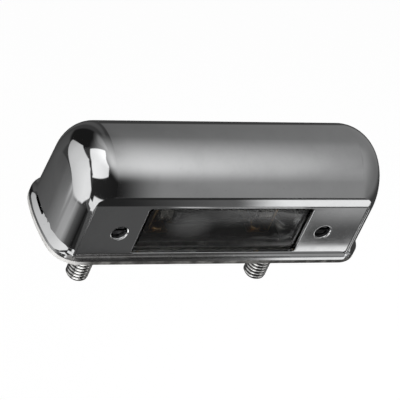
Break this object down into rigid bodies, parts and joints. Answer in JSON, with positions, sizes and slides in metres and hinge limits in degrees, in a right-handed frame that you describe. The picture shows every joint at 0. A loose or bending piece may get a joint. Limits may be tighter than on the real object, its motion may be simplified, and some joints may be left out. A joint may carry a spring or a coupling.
{
  "type": "number plate lamp",
  "caption": "Long half-round lamp with a pressed bright hood, a flat front window, a rubber base gasket and threaded studs below, to light a vehicle's number plate.",
  "frame": {"origin": "on the underside of the base gasket, midway between the two mounting studs", "axes": "+X along the lamp's length, -Y the way the window faces, +Z from the mounting face up to the dome"},
  "size_m": [0.0896, 0.0305, 0.0517],
  "materials": {
    "chrome": "bright chrome plate",
    "gasket_rubber": "pale matt rubber",
    "plate_steel": "zinc plate",
    "lens_clear": "clear, gloss",
    "black_rubber": "matt",
    "stud_steel": "bright zinc plate",
    "bulb_glass": "clear",
    "bulb_cap": "nickel plate",
    "filament": "dull wire",
    "fibre_board": "pressed fibre",
    "contact_brass": "plain brass"
  },
  "bodies": {
    "root": {"hood": "chrome", "base_gasket": "gasket_rubber", "base_plate": "plate_steel", "lens": "lens_clear", "lens_gasket": "black_rubber", "stud_left": "stud_steel", "stud_right": "stud_steel", "hood_screws": "stud_steel", "bulb_glass": "bulb_glass", "bulb_cap_left": "bulb_cap", "bulb_cap_right": "bulb_cap", "bulb_filament": "filament", "insulator_board": "fibre_board", "live_contact": "contact_brass", "earth_contact": "contact_brass", "contact_rivets": "contact_brass", "board_rivets": "plate_steel", "terminal_washers": "contact_brass", "terminal_screws": "contact_brass", "cable_grommet": "black_rubber"}
  },
  "joints": []
}
